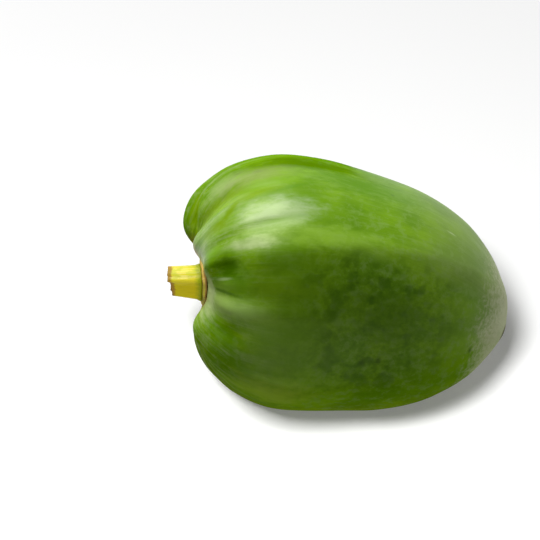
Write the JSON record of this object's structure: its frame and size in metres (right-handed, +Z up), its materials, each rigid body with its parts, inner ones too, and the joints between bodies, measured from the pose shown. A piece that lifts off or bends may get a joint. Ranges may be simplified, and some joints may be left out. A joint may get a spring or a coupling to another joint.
{
  "type": "green papaya",
  "caption": "Unripe green papaya as picked, lying on its side: a ribbed, gently bent fruit with a dry calyx collar and a cut five-angled stalk stub.",
  "frame": {"origin": "on the surface that the fruit rests on, under the middle of its bounding box", "axes": "+Z up; +X from the stalk end to the blossom end; -Y is the front, seen first"},
  "size_m": [0.1702, 0.1286, 0.1295],
  "materials": {
    "papaya_skin": "smooth waxy green fruit skin with paler streaks and fine specks",
    "dry_calyx": "dry tan corky collar",
    "stalk": "fresh yellow-green stalk with a dried brown cut end"
  },
  "bodies": {
    "root": {"fruit": "papaya_skin", "calyx": "dry_calyx", "stem": "stalk"}
  },
  "joints": []
}
